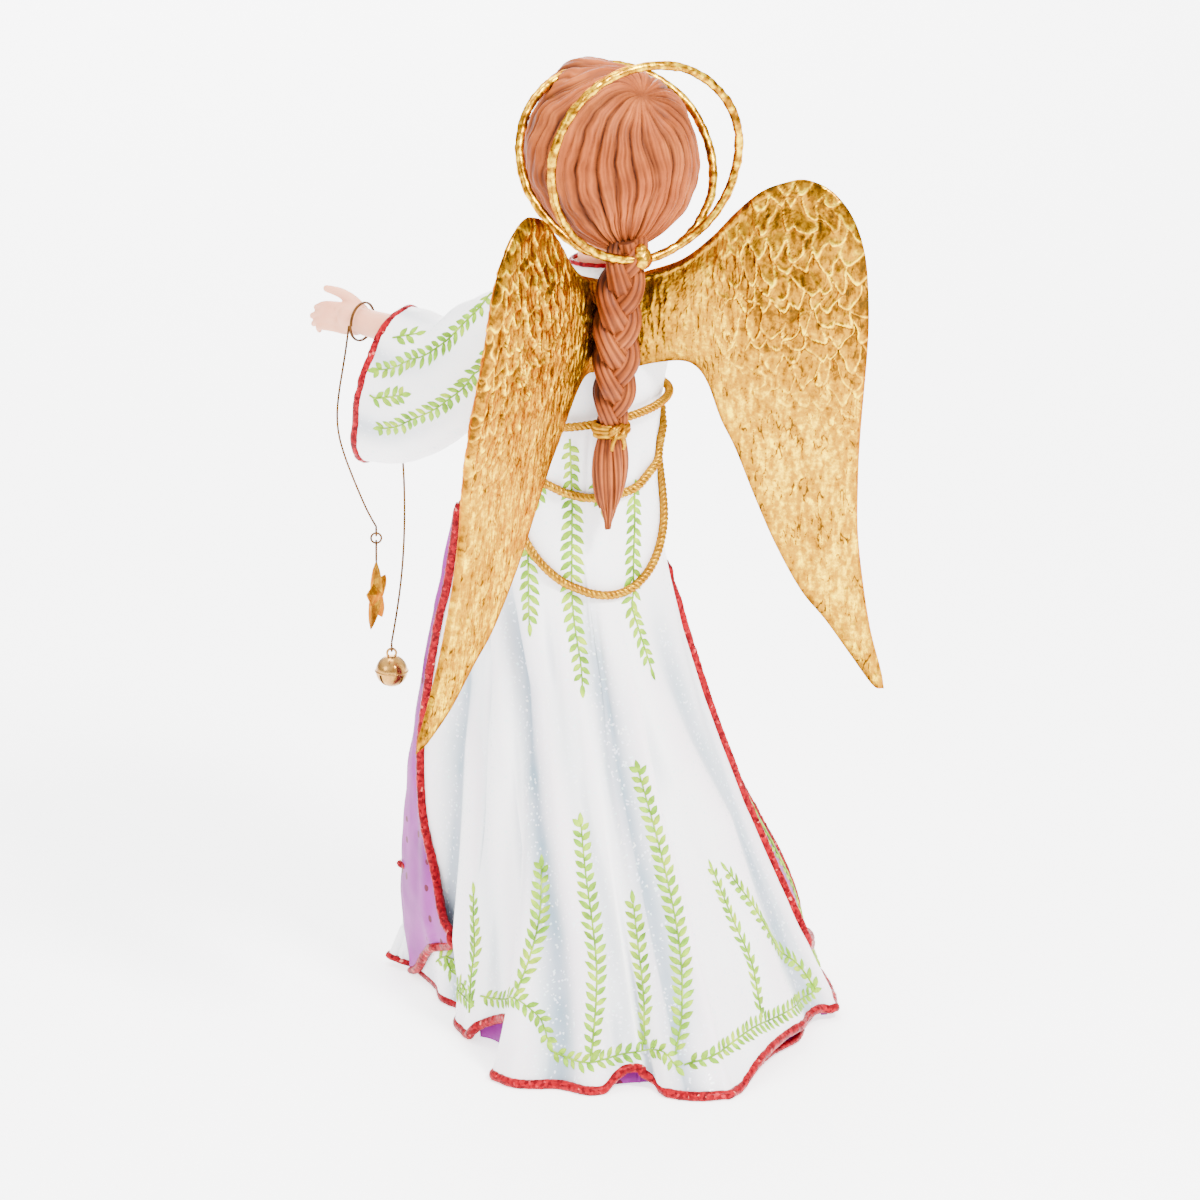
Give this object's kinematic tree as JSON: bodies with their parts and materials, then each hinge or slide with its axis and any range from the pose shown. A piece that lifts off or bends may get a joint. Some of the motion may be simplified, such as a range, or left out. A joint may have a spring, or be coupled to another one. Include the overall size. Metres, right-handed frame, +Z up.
{
  "type": "angel figurine",
  "caption": "Standing winged angel figurine in an open long coat, with ring halo, braid, bell sleeves and a wire charm with star and bell on one wrist.",
  "frame": {"origin": "on the resting face of the felt pad, under the waist", "axes": "+Z up, the figure faces -Y, its left hand is on +X"},
  "size_m": [0.1523, 0.1591, 0.3006],
  "materials": {
    "felt": "felt",
    "dress_white": "painted resin with pearl glitter",
    "coat_white": "painted resin with pearl glitter",
    "skin": "satin paint",
    "hair_brown": "satin paint with dark wash",
    "gold_leaf": "gold leaf over relief, worn in the grooves",
    "rope_gold": "metallic gold paint",
    "wire_brass": "drawn wire, slightly tarnished",
    "star_gold": "gold glitter",
    "bell_brass": "polished",
    "steel_pin": "plain",
    "red_trim": "red glitter",
    "lilac_lining": "painted with dark red dots",
    "fern_green": "hand-painted sprigs"
  },
  "bodies": {
    "root": {"felt_pad": "felt", "underdress": "dress_white", "coat_skirt": "coat_white", "bodice": "coat_white", "left_sleeve": "coat_white", "right_sleeve": "coat_white", "left_hand": "skin", "right_hand": "skin", "head": "skin", "hair": "hair_brown", "braid": "hair_brown", "hair_tie": "gold_leaf", "halo_bead": "gold_leaf", "halo_back_ring": "gold_leaf", "halo_front_ring": "gold_leaf", "halo_stem": "steel_pin", "left_wing_peg": "steel_pin", "right_wing_peg": "steel_pin", "left_wing": "gold_leaf", "right_wing": "gold_leaf", "belt_cord_top": "rope_gold", "belt_cord_middle": "rope_gold", "belt_cord_lower": "rope_gold"},
    "charm_wire": {"wrist_wire": "wire_brass", "star_wire": "wire_brass", "star_eye": "wire_brass", "bell_wire": "wire_brass", "bell_eye": "wire_brass"},
    "star_ring": {"star_jump_ring": "wire_brass"},
    "star": {"star_bail": "wire_brass", "star_charm": "star_gold"},
    "bell": {"bell_shell": "bell_brass", "bell_shank": "bell_brass"},
    "bell_pea": {"bell_pea": "steel_pin"}
  },
  "joints": [
    {"name": "charm_wire_turn", "type": "hinge", "parent": "root", "child": "charm_wire", "pos_m": [0.04767, -0.0501, 0.203], "axis": [0.4691, -0.8832, 0], "range_deg": [-15, 15]},
    {"name": "star_ring_swing", "type": "hinge", "parent": "charm_wire", "child": "star_ring", "pos_m": [0.04152, -0.05408, 0.136], "axis": [-0.3998, -0.9166, 0], "range_deg": [-11, 30]},
    {"name": "star_swing", "type": "hinge", "parent": "star_ring", "child": "star", "pos_m": [0.04152, -0.05408, 0.1337], "axis": [-0.9166, 0.3998, 0], "range_deg": [-30, 30]},
    {"name": "bell_swing", "type": "hinge", "parent": "charm_wire", "child": "bell", "pos_m": [0.03508, -0.0575, 0.0989], "axis": [-0.3998, -0.9166, 0], "range_deg": [-30, 30]},
    {"name": "bell_pea_roll", "type": "hinge", "parent": "bell", "child": "bell_pea", "pos_m": [0.03508, -0.0575, 0.0929], "axis": [-0.9166, 0.3998, 0], "range_deg": [-40, 40]}
  ]
}
